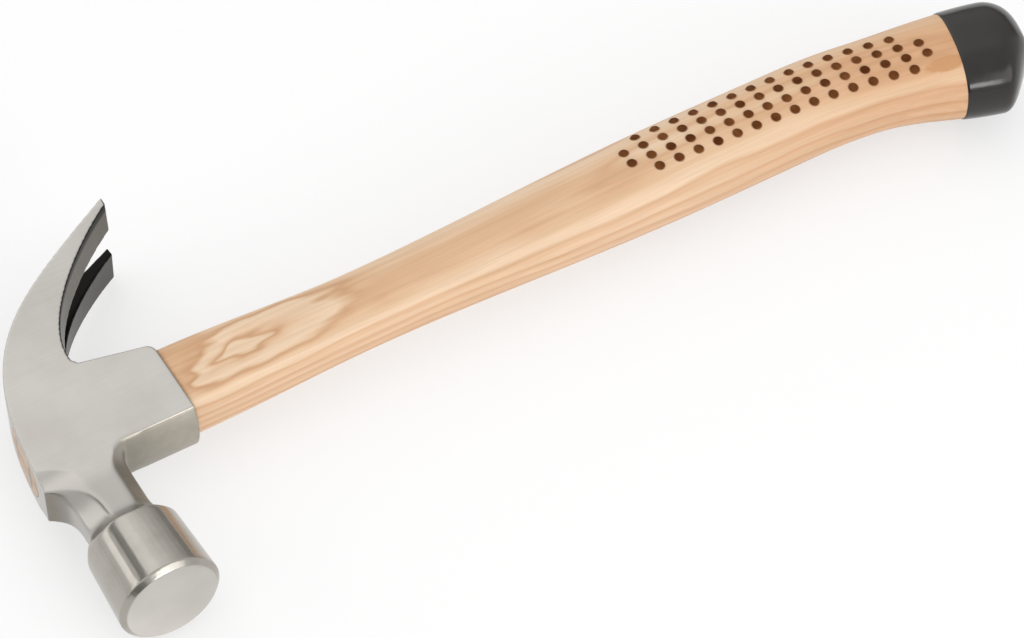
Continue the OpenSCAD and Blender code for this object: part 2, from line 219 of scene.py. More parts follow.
# Middle along and across the handle, reach along and across it, and height in the yearly layers
ARCHES = [
    (30.0, 1.0, 20.0, 8.5, 4.2),
    (20.0, -1.0, 9.0, 4.6, 2.6),
]
YEAR_COLOURS = [
    (0.0, (0.72, 0.485, 0.30)),
    (0.12, (0.81, 0.605, 0.42)),
    (0.4, (0.805, 0.592, 0.404)),
    (0.75, (0.735, 0.483, 0.298)),
    (0.92, (0.655, 0.392, 0.222)),
    (1.0, (0.72, 0.485, 0.30)),
]
RIM_ENDS = (5.0, 8.5)
RIM_SHARE = 0.8
RIM_COLOUR = (0.655, 0.395, 0.22, 1)
LATE_WOOD = [(0.66, 0), (0.9, 1), (1.0, 0)]
ARCH_ENDS = (45.0, 75.0)
ARCH_SHARE = 0.7
ARCH_COLOUR = (0.57, 0.32, 0.17, 1)
FLAT_ENDS = (4.5, 8.5)
CALM_SHARE = 0.35
CALM_COLOUR = (0.755, 0.53, 0.345, 1)
# Painted shade and light: the handle's flanks are tinted darker and its flat sides lighter
PAINTED_FLANK_SHADE = [(0.0, (0.95, 0.90, 0.885)), (1.0, (1.03, 1.05, 1.08))]
BAND_NOISE = ((0.008, 0.05, 0.05), 2)
BAND_TINTS = [(0.3, (0.94, 0.90, 0.86)), (0.7, (1.03, 1.04, 1.05))]
FIBRE_NOISE = ((0.05, 2.0, 2.0), 2)
FIBRE_TINTS = [(0.3, (0.94, 0.93, 0.91)), (0.7, (1.02, 1.02, 1.02))]
FIBRE_RELIEF = 0.00001
STRAND_NOISE = ((0.014, 0.55, 0.55), 3)
STRAND_TINTS = [(0.35, (0.95, 0.93, 0.90)), (0.6, (1.02, 1.02, 1.02))]
FLECK_NOISE = ((0.16, 0.5, 0.5), 3)
TONGUE_LEAN = 0.04
TONGUE = {
    "middle": (115.0, -3.6),
    "reach": (50.0, 4.2),
    "ragged": (-0.3, 0.3),
    "ends": (0.36, 0.52),
    "share": 0.5,
    "colour": (0.665, 0.405, 0.232, 1),
}
PATCH = {
    "middle": (306.0, -9.5),
    "reach": (10.0, 3.4),
    "ragged": (-0.5, 0.5),
    "ends": (0.42, 0.6),
    "share": 0.85,
    "colour": (0.58, 0.295, 0.125, 1),
}
WARM_ENDS = (200, 300)
WARM_TINT = (0.95, 0.87, 0.79, 1)
CHAR_NOISE = ((0.12, 0.12, 0.12), 2)
CHAR_COLOURS = [(0.35, (0.085, 0.022, 0.004)), (0.65, (0.17, 0.06, 0.017))]
ASH_ROUGHNESS = (0.38, 0.5)

# End grain of the tenon, the wedges and the dip
END_SPECULAR = 0.3
END_LAYER_NOISE = ((0.05, 0.1, 0.9), 3)
END_COLOURS = [(0.35, (0.60, 0.44, 0.33)), (0.65, (0.72, 0.56, 0.44))]
PORE_NOISE = ((0.3, 3.0, 3.0), 2)
PORE_LEVELS = [(0.3, 0.85), (0.5, 1.0)]
PORE_RELIEF = 0.00003
BARE_WOOD_ROUGHNESS = (0.5, 0.65)
WEDGE_RELIEF = 0.00002
WEDGE_WOOD_NOISE = ((0.1, 2.2, 2.2), 3)
WEDGE_WOOD_COLOURS = ((0.50, 0.34, 0.22), (0.60, 0.43, 0.30))
WEDGE_STEEL_NOISE = ((0.9, 0.9, 0.9), 4)
WEDGE_STEEL_COLOURS = ((0.30, 0.295, 0.285), (0.44, 0.43, 0.42))
WEDGE_STEEL_ROUGHNESS = (0.4, 0.6)
DIP_NOISE = ((0.12, 0.12, 0.12), 2)
DIP_COLOURS = ((0.011, 0.0085, 0.0065), (0.015, 0.012, 0.0095))
DIP_ROUGHNESS = (0.14, 0.2)
DIP_RELIEF = 0.0001

# Where the photographer stood, in metres and degrees
CAMERA_AZIMUTH = math.radians(-30.56)
CAMERA_ELEVATION = math.radians(51.15)
CAMERA_DISTANCE = 1.3014
CAMERA_TARGET = Vector((0.15405, -0.02972, 0))
CAMERA_LENS = 133.6
SENSOR_W = 36

# Studio: the far wall's brightness at each angle in degrees round the striking axis from the handle's end,
# the near wall with a dark flag and a soft glow on it, a lamp panel and a paper floor
FAR_WALL = [
    (0, 0.2), (10, 0.27), (26, 0.52), (44, 0.66), (58, 0.76), (70, 0.92), (82, 0.95), (92, 1.12),
    (115, 1.12), (122, 0.22), (139, 0.22), (143, 1.5), (154, 1.5), (162, 0.7), (180, 0.65),
]
NEAR_LEVEL = 0.72
WALL_JOIN = (0.05, 0.35)
FLAG_HEADING = (-0.666, -0.745, 0.05)
FLAG_LEVEL = 0.2
FLAG_ENDS = (math.cos(math.radians(32)), math.cos(math.radians(18)))
GLOW_HEADING = (0.33, -0.80, 0.50)
GLOW_LEVEL = 1.9
GLOW_ENDS = (math.cos(math.radians(26)), math.cos(math.radians(12)))
WORLD_STRENGTH = 1.19
PANEL_HEADING = Vector((-0.06, -0.92, 0.39))
PANEL_DISTANCE = 1.5
PANEL_W = 0.53
PANEL_H = 0.32
PANEL_RADIANCE = 7
FLOOR_REACH = 20
FLOOR_LEVEL = 0.96
FLOOR_WHITE_SHARE = 0.6
PAPER_NOISE = ((0.2, 0.2, 0.2), 2)
PAPER_ROUGHNESS = (0.85, 0.95)

head_low, head_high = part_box("head")
# Where the eye axis, the striking axis and the middle plane cross, in the frame
AXES = Vector((head_low.x + CROWN_H, head_low.y + FACE_REACH, (head_low.z + head_high.z) / 2))


def smoothstep(ends, x):
    """A soft step from 0 at the first end to 1 at the second."""
    low, high = ends
    t = np.clip((x - low) / (high - low), 0, 1)
    return t * t * (3 - 2 * t)


def blend(first, second, share):
    return first + (second - first) * share


# Forms


def add_object(name, data):
    thing = bpy.data.objects.new(name, data)
    bpy.context.scene.collection.objects.link(thing)
    return thing


def new_piece(name, mesh, node):
    """A shaded piece that stands for a CAD node."""
    piece = add_object(name, mesh)
    mesh.polygons.foreach_set("use_smooth", np.ones(len(mesh.polygons), bool))
    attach(piece, "root")
    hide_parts(node)
    return piece


def set_mask(piece, name, values):
    layer = piece.data.attributes.new(name, "FLOAT", "POINT")
    layer.data.foreach_set("value", np.asarray(values, np.float32))


def points_and_normals(mesh):
    """Points of a mesh from the hammer's own axes, and their normals."""
    points = np.zeros(len(mesh.vertices) * 3, np.float32)
    normals = np.zeros(len(mesh.vertices) * 3, np.float32)
    mesh.vertices.foreach_get("co", points)
    mesh.vertex_normals.foreach_get("vector", normals)
    return points.reshape(-1, 3) - np.array(AXES), normals.reshape(-1, 3)


def applied_mesh(thing):
    """The mesh of an object with its modifiers applied. The object itself is removed."""
    mesh = bpy.data.meshes.new_from_object(thing.evaluated_get(bpy.context.evaluated_depsgraph_get()))
    bpy.data.objects.remove(thing)
    return mesh


def softened_mesh(node):
    """A fine, even copy of a CAD node's mesh, with its edges rounded."""
    rough = add_object("rough", nodes[node].data.copy())
    welded = bmesh.new()
    welded.from_mesh(rough.data)
    bmesh.ops.remove_doubles(welded, verts=welded.verts, dist=WELD)
    welded.to_mesh(rough.data)
    welded.free()
    remesh = rough.modifiers.new("remesh", "REMESH")
    remesh.mode = "VOXEL"
    remesh.voxel_size = HEAD_VOXEL
    smooth = rough.modifiers.new("smooth", "SMOOTH")
    smooth.iterations = HEAD_SMOOTHING
    fine = applied_mesh(rough)
    fine.materials.clear()
    return fine


def neck_mask(points):
    """The neck between the bell and the block, and the fillet under the block's front."""
    x, y, _ = points.T
    off_bell = smoothstep(NECK_BELL_ENDS, y)
    waist = off_bell * (1 - smoothstep(NECK_BLOCK_ENDS, y))
    fillet = smoothstep(FILLET_LOW_ENDS, x) * (1 - smoothstep(FILLET_HIGH_ENDS, x))
    fillet *= 1 - smoothstep(FILLET_FRONT_ENDS, y)
    return np.maximum(waist, fillet * off_bell)


def soften_neck(mesh):
    """The head's mesh with the edges of its neck rounded more than the rest."""
    head = add_object("head", mesh)
    weights = neck_mask(points_and_normals(mesh)[0])
    group = head.vertex_groups.new(name="neck")
    for corner in np.flatnonzero(weights):
        group.add([int(corner)], float(weights[corner]), "REPLACE")
    smooth = head.modifiers.new("smooth", "SMOOTH")
    smooth.iterations = NECK_SMOOTHING
    smooth.vertex_group = group.name
    return applied_mesh(head)


def painted_shade_slot_mask(points, normals):
    """Where shade is painted in the nail slot: its walls and root, and a tail that runs on past the root."""
    _, y, z = points.T
    half_w = np.interp(y, [SLOT_ROOT_REACH, CLAW_REACH], [SLOT_ROOT_W / 2, SLOT_MOUTH_W / 2])
    at_root = y < SLOT_ROOT_REACH + SLOT_ROOT_ZONE
    inward = np.maximum(-np.sign(z) * normals[:, 2], normals[:, 1] * at_root)
    between = (y > SLOT_ROOT_REACH - SLOT_MARGIN) & (np.abs(z) < half_w + SLOT_MARGIN)
    walls = smoothstep(SLOT_FACING, inward) * between
    tail_w = np.interp(y, [TAIL_START, TAIL_END], TAIL_HALF_WIDTHS)
    tail = 1 - smoothstep([share * tail_w for share in TAIL_FADE_SHARES], np.abs(z))
    tail *= (normals[:, 0] > TAIL_FACING) & (y > TAIL_START) & (y < TAIL_END)
    return np.maximum(walls, tail)


def painted_reflection_edge_mask(points, normals):
    """A painted dark reflection along the outer edge of the upper claw's underside, wider towards the tip.
    """
    _, y, z = points.T
    steps = np.linspace(SLOT_ROOT_REACH, CLAW_REACH, EDGE_STEPS)
    nearest = np.clip(np.searchsorted(steps, y), 0, len(steps) - 1)
    widest = np.zeros(len(steps))
    np.maximum.at(widest, nearest, z)
    middles = (steps[1:] + steps[:-1]) / 2
    off = np.polynomial.Polynomial.fit(middles, widest[1:], EDGE_CURVE_DEGREE)(y) - z
    band = np.interp(y, [SLOT_ROOT_REACH, CLAW_REACH], EDGE_WIDTHS)
    near = 1 - smoothstep([share * band for share in EDGE_FADE_SHARES], off)
    return smoothstep(EDGE_FACING, normals[:, 0]) * near * (y > SLOT_ROOT_REACH)


def head_zones(points, normals):
    """How far each point of the head belongs to each of its surfaces."""
    x, y, z = points.T
    poll = 1 - smoothstep(POLL_ENDS, y)
    face = (1 - smoothstep(FACE_ENDS, np.hypot(x, z))) * (y < FACE_DEPTH - FACE_REACH)
    crown = smoothstep(CROWN_FACING, -normals[:, 1]) * (x < CROWN_BASE) * (1 - poll)
    crown *= 1 - smoothstep(CROWN_ENDS, y)
    # Less painted shade where the crown faces up
    crown *= 1 - CROWN_UP_SHARE * smoothstep(CROWN_UP_FACING, normals[:, 2])
    return {
        "poll": poll,
        "face": face,
        "crown": crown,
        "chamfer": poll * (1 - face) * (1 - smoothstep(CHAMFER_ENDS, y)),
        "under": smoothstep(UNDER_FACING, normals[:, 0]) * (1 - poll),
        "neck": (1 - smoothstep(NECK_TONE_ENDS, y)) * (1 - poll),
        "front": smoothstep(FRONT_FACING, -normals[:, 1]) * smoothstep(FRONT_ENDS, y),
    }


def head_painted_light_and_tone(points, normals, zones):
    """How bright each point of the head is beside its cheeks: painted shade on the block front, crown,
    undersides, claws, claw edge and slot, painted light on the face, and darker neck, poll and chamfer.
    """
    x, y, z = points.T
    # Painted light on the face, brighter towards one side
    face_painted_light = np.interp(z + FACE_LIGHT_TILT * x, FACE_LIGHT_PLACES, FACE_PAINTED_LIGHT)
    # Painted shade on the block front
    front_painted_shade = np.interp(x, FRONT_SHADE_PLACES, FRONT_PAINTED_SHADE)
    # Painted shade under the claws, darker on the lower claw
    claw_painted_shade = blend(LOWER_CLAW_PAINTED_SHADE, UPPER_CLAW_PAINTED_SHADE, z > 0)
    under_painted_shade = blend(UNDER_PAINTED_SHADE, claw_painted_shade, smoothstep(CLAW_ENDS, y))
    painted_light_and_tone = blend(1.0, NECK_TONE, zones["neck"])
    painted_light_and_tone = blend(painted_light_and_tone, POLL_TONE, zones["poll"])
    painted_light_and_tone = blend(painted_light_and_tone, CHAMFER_TONE, zones["chamfer"])
    painted_light_and_tone = blend(painted_light_and_tone, face_painted_light, zones["face"])
    painted_light_and_tone = blend(painted_light_and_tone, front_painted_shade, zones["front"])
    painted_light_and_tone = blend(painted_light_and_tone, CROWN_PAINTED_SHADE, zones["crown"])
    painted_light_and_tone = blend(painted_light_and_tone, under_painted_shade, zones["under"])
    # Painted dark reflection along the upper claw's edge
    painted_light_and_tone = blend(painted_light_and_tone, EDGE_PAINTED_REFLECTION, painted_reflection_edge_mask(points, normals))
    # Painted shade in the nail slot
    return blend(painted_light_and_tone, SLOT_PAINTED_SHADE, painted_shade_slot_mask(points, normals))


def make_head():
    """The head, with masks for how bright its surfaces are, painted light and shade included, and how olive
    and how smooth they are.
    """
    mesh = soften_neck(softened_mesh("head"))
    points, normals = points_and_normals(mesh)
    piece = new_piece("steel_head", mesh, "head")
    zones = head_zones(points, normals)
    bell_side = zones["poll"] * (1 - zones["face"])
    olive = np.maximum(UNDER_OLIVE * zones["under"], POLL_OLIVE * bell_side)
    smooth = np.maximum(zones["poll"], NECK_SMOOTHNESS * zones["neck"])
    # The brightness mask holds painted light and shade as well as the darker neck, poll and chamfer
    set_mask(piece, "painted_light_and_tone", head_painted_light_and_tone(points, normals, zones))
    set_mask(piece, "olive", np.maximum(zones["front"], olive))
    set_mask(piece, "smooth", smooth * (1 - zones["under"]))
    return piece


def section(s):
    """Reach to both sides, half thickness and squareness of the handle, blended between its stations."""
    place = np.clip(s / HANDLE_L, 0, 1)
    i = np.clip(np.searchsorted(STATIONS[:, 0], place, side="right") - 1, 0, len(STATIONS) - 2)
    share = smoothstep((STATIONS[i, 0], STATIONS[i + 1, 0]), place)[:, None]
    return STATIONS[i, 1:] * (1 - share) + STATIONS[i + 1, 1:] * share


def spine(s):
    """Place and heading of the middle line: straight, a bend, and straight again."""
    a = np.clip((s - BEND_START) / BEND_R, 0, BEND_A)
    tail = np.maximum(s - BEND_START - BEND_R * BEND_A, 0)
    x = RIM_DROP + FIT_GAP + np.minimum(s, BEND_START) + BEND_R * np.sin(a) + tail * np.cos(a)
    y = -BEND_R * (1 - np.cos(a)) - tail * np.sin(a)
    return x, y, a


def rings(s, out):
    """Rings of points square to the middle line at s, let out all round."""
    back, front, half_t, squareness = section(s).T[:, :, None]
    turn = np.linspace(0, 2 * math.pi, RING_CORNERS, endpoint=False)
    c, d = np.cos(turn), np.sin(turn)
    wide = np.where(c > 0, back, front) + out[:, None]
    thick = half_t + out[:, None]
    r = (np.abs(c / wide) ** squareness + np.abs(d / thick) ** squareness) ** (-1 / squareness)
    x, y, a = (value[:, None] for value in spine(s))
    return np.stack([x + r * c * np.sin(a), y + r * c * np.cos(a), r * d], axis=2)


def end_rings(out):
    """Rings round the end of the handle, let out all round, and then in to its middle."""
    a = np.linspace(0, math.pi / 2, END_RINGS)
    along = HANDLE_L - END_ROUND_R + (END_ROUND_R + out) * np.sin(a)
    round_rings = rings(along, (END_INSET + out) * np.cos(a) - END_INSET)
    middle = round_rings[-1].mean(axis=0)
    inner = [middle + (round_rings[-1] - middle) * share for share in END_INNER_SHARES]
    return np.concatenate([round_rings, inner])


def loft(name, grid):
    """A closed mesh through rings of points."""
    n, m = grid.shape[:2]
    corner = np.arange(n * m).reshape(n, m)
    beside = np.roll(corner, -1, axis=1)
    quads = np.stack([corner[:-1], corner[1:], beside[1:], beside[:-1]], axis=2).reshape(-1, 4).tolist()
    caps = [corner[-1].tolist()[::-1], corner[0].tolist()]
    mesh = bpy.data.meshes.new(name)
    mesh.from_pydata((grid.reshape(-1, 3) + np.array(AXES)).tolist(), [], quads + caps)
    return mesh


def dot_centres():
    """Centres of the dots on the upper side and, mirrored, on the lower one."""
    centres = []
    for row in range(DOT_ROWS):
        lack = OUTER_ROW_LACK if row in (0, DOT_ROWS - 1) else 0
        for column in range(lack, DOT_COLUMNS - lack):
            s = np.array([DOT_START + column * DOT_PITCH])
            share = column / (DOT_COLUMNS - 1)
            shift = DOT_SHIFT * (1 - share) - DOT_END_SHIFT * share
            across = (row - (DOT_ROWS - 1) / 2) * ROW_PITCH + shift
            back, front, half_t, squareness = section(s)[0]
            reach = abs(across) / (back if across > 0 else front)
            height = half_t * (1 - reach ** squareness) ** (1 / squareness)
            x, y, _ = (value[0] for value in spine(s))
            centres.extend((x, y + across, side * height) for side in (-1, 1))
    return np.array(centres)


def set_grain(piece):
    """Places along the middle line, across it and up as a share of the thickness, in millimetres."""
    points, _ = points_and_normals(piece.data)
    x = points[:, 0] - RIM_DROP - BEND_START
    y = points[:, 1] + BEND_R
    a = np.clip(np.arctan2(x, y), 0, BEND_A)
    along = BEND_START + BEND_R * a + x * np.cos(a) - y * np.sin(a)
    across = x * np.sin(a) + y * np.cos(a) - BEND_R
    up = points[:, 2] * GRAIN_HALF_T / section(along)[:, 2]
    places = MM * np.stack([along, across, up], axis=1)
    layer = piece.data.attributes.new("grain", "FLOAT_VECTOR", "POINT")
    layer.data.foreach_set("vector", places.astype(np.float32).ravel())


def make_handle():
    """The handle up to the rim of the head, with its dots pressed in and marked as burnt."""
    dots_low = DOT_START - DOT_PITCH
    dots_high = DOT_START + DOT_COLUMNS * DOT_PITCH
    s = np.concatenate([
        np.arange(0, dots_low, RING_STEP),
        np.arange(dots_low, dots_high, DOT_RING_STEP),
        np.arange(dots_high, HANDLE_L - END_ROUND_R, RING_STEP),
    ])
    mesh = loft("handle", np.concatenate([rings(s, np.zeros_like(s)), end_rings(0)]))
    points, normals = points_and_normals(mesh)
    off = np.full(len(points), np.inf)
    for centre in dot_centres():
        off = np.minimum(off, np.linalg.norm(points - centre, axis=1))
    dents = 1 - smoothstep([share * DOT_R for share in DOT_WALL_SHARES], off)
    points -= normals * (DOT_DEPTH * dents)[:, None]
    mesh.vertices.foreach_set("co", (points + np.array(AXES)).astype(np.float32).ravel())
    mesh.update()
    piece = new_piece("ash_handle", mesh, "handle")
    set_mask(piece, "burn", 1 - smoothstep([share * DOT_R for share in DOT_CHAR_SHARES], off))
    set_grain(piece)
    return piece


def make_tenon():
    """The end of the handle in the eye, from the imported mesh."""
    mesh = nodes["handle"].data.copy()
    part = bmesh.new()
    part.from_mesh(mesh)
    bmesh.ops.remove_doubles(part, verts=part.verts, dist=WELD)
    cut = Vector((AXES.x + RIM_DROP, 0, 0))
    whole = part.verts[:] + part.edges[:] + part.faces[:]
    bmesh.ops.bisect_plane(part, geom=whole, plane_co=cut, plane_no=(1, 0, 0), clear_outer=True)
    bmesh.ops.holes_fill(part, edges=[edge for edge in part.edges if edge.is_boundary])
    part.to_mesh(mesh)
    part.free()
    mesh.materials.clear()
    piece = new_piece("ash_tenon", mesh, "handle")
    mesh.polygons.foreach_set("use_smooth", np.zeros(len(mesh.polygons), bool))
    set_grain(piece)
    return piece


def make_dip():
    """The coating on the end of the handle: in along the wood, round the lip and out again."""
    start = HANDLE_L - DIP_L
    lip = np.linspace(0, math.pi / 2, LIP_RINGS)
    s = np.arange(start + DIP_LIP_L, HANDLE_L - END_ROUND_R, RING_STEP)
    inner_s = np.concatenate([[start], s])
    inner = np.concatenate([rings(inner_s, np.full_like(inner_s, FIT_GAP)), end_rings(FIT_GAP)])[::-1]
    edge = rings(start + DIP_LIP_L * (1 - np.cos(lip)), FIT_GAP + (DIP_T - FIT_GAP) * np.sin(lip))[1:]
    outer = np.concatenate([edge, rings(s[1:], np.full(len(s) - 1, DIP_T)), end_rings(DIP_T)])
    return new_piece("end_dip_coat", loft("dip", np.concatenate([inner, outer])), "end_dip")


# Materials


def add_node(tree, kind, inputs=(), **settings):
    """A node with its settings, and its inputs by name or place."""
    node = tree.nodes.new(kind)
    for name, value in settings.items():
        setattr(node, name, value)
    for name, value in dict(inputs).items():
        if isinstance(value, bpy.types.NodeSocket):
            tree.links.new(value, node.inputs[name])
        else:
            node.inputs[name].default_value = value
    return node


def math_node(tree, operation, *values):
    return add_node(tree, "ShaderNodeMath", dict(enumerate(values)), operation=operation).outputs[0]


def mix_colour(tree, share, first, second, blend_type="MIX"):
    """A mix of two colours, by the share of the second."""
    inputs = {MIX_SHARE_IN: share, MIX_FIRST_IN: first, MIX_SECOND_IN: second}
    node = add_node(tree, "ShaderNodeMix", inputs, data_type="RGBA", blend_type=blend_type)
    return node.outputs[MIX_COLOUR_OUT]


def tinted(tree, colour, tint):
    return mix_colour(tree, 1.0, colour, tint, "MULTIPLY")


def parted(tree, place):
    """The three values of a place."""
    return add_node(tree, "ShaderNodeSeparateXYZ", {0: place}).outputs


def scaled(tree, place, factors):
    """A place scaled along each axis."""
    return add_node(tree, "ShaderNodeVectorMath", {0: place, 1: factors}, operation="MULTIPLY").outputs[0]


def noise(tree, place, kind):
    """Noise over a place, of a kind given by its stretch and its detail."""
    stretch, detail = kind
    inputs = {
        "Vector": scaled(tree, place, stretch),
        "Scale": 1.0,
        "Detail": detail,
        "Roughness": NOISE_ROUGHNESS,
    }
    return add_node(tree, "ShaderNodeTexNoise", inputs).outputs[0]


def spread(tree, value, ends, to_ends=(0.0, 1.0), interpolation="LINEAR"):
    """A value carried from one range to another."""
    inputs = {
        "Value": value,
        "From Min": ends[0],
        "From Max": ends[1],
        "To Min": to_ends[0],
        "To Max": to_ends[1],
    }
    return add_node(tree, "ShaderNodeMapRange", inputs, interpolation_type=interpolation).outputs[0]


def warp(tree, place, kind, ends):
    """Noise over a place, between two ends."""
    return spread(tree, noise(tree, place, kind), (0, 1), ends)


def mask(tree, name):
    return add_node(tree, "ShaderNodeAttribute", attribute_name=name).outputs["Fac"]


def grain_places(tree):
    return add_node(tree, "ShaderNodeAttribute", attribute_name="grain").outputs["Vector"]


def millimetres(tree):
    """Places on the object in millimetres."""
    return scaled(tree, add_node(tree, "ShaderNodeTexCoord").outputs["Object"], (MM, MM, MM))


def grey(level):
    return (level, level, level)


def opaque(colour):
    return (*colour, 1)


def ramp(tree, value, stops):
    """A colour for a value, from stops of place and colour."""
    node = add_node(tree, "ShaderNodeValToRGB", {0: value})
    elements = node.color_ramp.elements
    while len(elements) < len(stops):
        elements.new(stops[-1][0])
    for element, (place, colour) in zip(elements, stops):
        element.position = place
        element.color = opaque(colour)
    return node.outputs[0]


def grey_ramp(tree, value, stops):
    return ramp(tree, value, [(place, grey(level)) for place, level in stops])


def noise_ramp(tree, value, colours):
    """A colour for a noise, between two colours."""
    return ramp(tree, value, list(zip(NOISE_STOPS, colours)))


def new_material(name, **settings):
    """A material, its tree and its shader, with even values set on the shader itself."""
    material = bpy.data.materials.new(name)
    material.use_nodes = True
    tree = material.node_tree
    shader = tree.nodes["Principled BSDF"]
    for socket, value in settings.items():
        shader.inputs[socket.replace("_", " ")].default_value = value
    return material, tree, shader


def set_surface(tree, shader, colour, roughness, height, relief):
    """Colour, roughness and fine relief of a shader."""
    bump = add_node(tree, "ShaderNodeBump", {"Height": height, "Strength": 1.0, "Distance": relief})
    tree.links.new(colour, shader.inputs["Base Color"])
    tree.links.new(roughness, shader.inputs["Roughness"])
    tree.links.new(bump.outputs[0], shader.inputs["Normal"])


def steel_material():
    """Ground cheeks, olive undersides darkened by painted shade, a polished poll with painted light on its
    face, and painted shade in the slot.
    """
    material, tree, shader = new_material("ground_steel", Metallic=1.0)
    place = millimetres(tree)
    brush = noise(tree, place, BRUSH_NOISE)
    smooth = mask(tree, "smooth")
    ground = spread(tree, smooth, (0, GROUND_SMOOTHNESS), GROUND_SHARES)
    colour = noise_ramp(tree, noise(tree, place, CLOUD_NOISE), STEEL_COLOURS)
    lines = tinted(tree, colour, grey_ramp(tree, brush, BRUSH_LEVELS))
    colour = mix_colour(tree, ground, colour, lines)
    olive = tinted(tree, colour, noise_ramp(tree, noise(tree, place, MOTTLE_NOISE), OLIVE_TINTS))
    colour = mix_colour(tree, mask(tree, "olive"), colour, olive)
    # Painted light and shade: the head's brightness mask scales the steel's colour
    colour = tinted(tree, colour, mask(tree, "painted_light_and_tone"))
    uneven = math_node(tree, "MULTIPLY", ground, BRUSH_ROUGHNESS)
    off_mean = math_node(tree, "SUBTRACT", brush, NOISE_MEAN)
    rough = math_node(tree, "MULTIPLY_ADD", off_mean, uneven, STEEL_ROUGHNESS)
    rough = math_node(tree, "SUBTRACT", rough, math_node(tree, "MULTIPLY", smooth, POLISH))
    set_surface(tree, shader, colour, rough, math_node(tree, "MULTIPLY", brush, ground), BRUSH_RELIEF)
    return material


def squared_off(tree, value, middle, reach):
    """The square of how far a value is from a middle, in reaches."""
    off = math_node(tree, "DIVIDE", math_node(tree, "SUBTRACT", value, middle), reach)
    return math_node(tree, "MULTIPLY", off, off)


def hump(tree, along, across, middle, reach):
    """A smooth hump over the grain, 1 at its middle."""
    off_along = squared_off(tree, along, middle[0], reach[0])
    off_across = squared_off(tree, across, middle[1], reach[1])
    off = math_node(tree, "ADD", off_along, off_across)
    return math_node(tree, "EXPONENT", math_node(tree, "MULTIPLY", off, -1.0))


def tailed(tree, along, middle):
    """How far along from a middle, with the far side drawn out."""
    off = math_node(tree, "SUBTRACT", along, middle)
    return math_node(tree, "MINIMUM", off, math_node(tree, "MULTIPLY", off, ARCH_TAIL))


def arch_places(tree, grain):
    """Places along and across the arches, which slant and wander."""
    along, across, _ = parted(tree, grain)
    slant = math_node(tree, "SUBTRACT", along, math_node(tree, "MULTIPLY", across, ARCH_SLANT))
    slant = math_node(tree, "ADD", slant, warp(tree, grain, SLANT_NOISE, SLANT_WARP))
    wander = math_node(tree, "ADD", across, warp(tree, grain, WANDER_NOISE, WANDER))
    return slant, wander


def year_places(tree, grain, slant, wander, short_warp):
    """How far through its year each place of the wood is. The layers close into arches near the head."""
    along, _, up = parted(tree, grain)
    depth = math_node(tree, "ADD", up, math_node(tree, "MULTIPLY", along, RING_RISE))
    depth = math_node(tree, "ADD", depth, warp(tree, grain, LONG_WARP_NOISE, LONG_WARP))
    depth = math_node(tree, "ADD", depth, short_warp)
    for start, middle, length, width, height in ARCHES:
        arch = hump(tree, tailed(tree, slant, start), wander, (0.0, middle), (length, width))
        depth = math_node(tree, "ADD", depth, math_node(tree, "MULTIPLY", arch, height))
    return math_node(tree, "FRACT", math_node(tree, "DIVIDE", depth, RING_SPACING))


def ash_colour(tree, grain):
    """Flat-sawn ash: yearly layers, a tan rim at the head, bold arches on the flat sides and calm flanks,
    with painted shade darkening the flanks and painted light on the flat sides.
    """
    slant, wander = arch_places(tree, grain)
    short_warp = warp(tree, grain, SHORT_WARP_NOISE, SHORT_WARP)
    year = year_places(tree, grain, slant, wander, short_warp)
    layers = ramp(tree, year, YEAR_COLOURS)
    rim = spread(tree, math_node(tree, "ADD", slant, short_warp), RIM_ENDS, (RIM_SHARE, 0.0))
    layers = mix_colour(tree, rim, layers, RIM_COLOUR)
    flat = spread(tree, math_node(tree, "ABSOLUTE", parted(tree, grain)[2]), FLAT_ENDS)
    bold = spread(tree, slant, ARCH_ENDS, (ARCH_SHARE, 0.0))
    late = math_node(tree, "MULTIPLY", grey_ramp(tree, year, LATE_WOOD), bold)
    layers = mix_colour(tree, math_node(tree, "MULTIPLY", late, flat), layers, ARCH_COLOUR)
    calm = mix_colour(tree, CALM_SHARE, layers, CALM_COLOUR)
    # Painted shade on the flanks and painted light on the flat sides
    return tinted(tree, mix_colour(tree, flat, calm, layers), ramp(tree, flat, PAINTED_FLANK_SHADE))


def stained(tree, wood, along, across, stain, rag):
    """Wood with one darker stain, whose edge a noise makes ragged."""
    spot = hump(tree, along, across, stain["middle"], stain["reach"])
    spot = math_node(tree, "ADD", spot, spread(tree, rag, (0, 1), stain["ragged"]))
    share = spread(tree, spot, stain["ends"], (0.0, stain["share"]))
    return mix_colour(tree, share, wood, stain["colour"])


def ash_material(name, specular):
    """Lacquered ash with burnt dots."""
    material, tree, shader = new_material(name, Specular_IOR_Level=specular)
    grain = grain_places(tree)
    along, across, _ = parted(tree, grain)
    band = noise(tree, grain, BAND_NOISE)
    fibre = noise(tree, grain, FIBRE_NOISE)
    strand = noise(tree, grain, STRAND_NOISE)
    wood = ash_colour(tree, grain)
    for layer, tints in ((band, BAND_TINTS), (fibre, FIBRE_TINTS), (strand, STRAND_TINTS)):
        wood = tinted(tree, wood, ramp(tree, layer, tints))
    lean = math_node(tree, "SUBTRACT", across, math_node(tree, "MULTIPLY", along, TONGUE_LEAN))
    wood = stained(tree, wood, along, lean, TONGUE, strand)
    wood = mix_colour(tree, spread(tree, along, WARM_ENDS), wood, tinted(tree, wood, WARM_TINT))
    wood = stained(tree, wood, along, across, PATCH, noise(tree, grain, FLECK_NOISE))
    burnt = ramp(tree, noise(tree, grain, CHAR_NOISE), CHAR_COLOURS)
    colour = mix_colour(tree, mask(tree, "burn"), wood, burnt)
    rough = spread(tree, fibre, NOISE_ENDS, ASH_ROUGHNESS)
    set_surface(tree, shader, colour, rough, fibre, FIBRE_RELIEF)
    return material


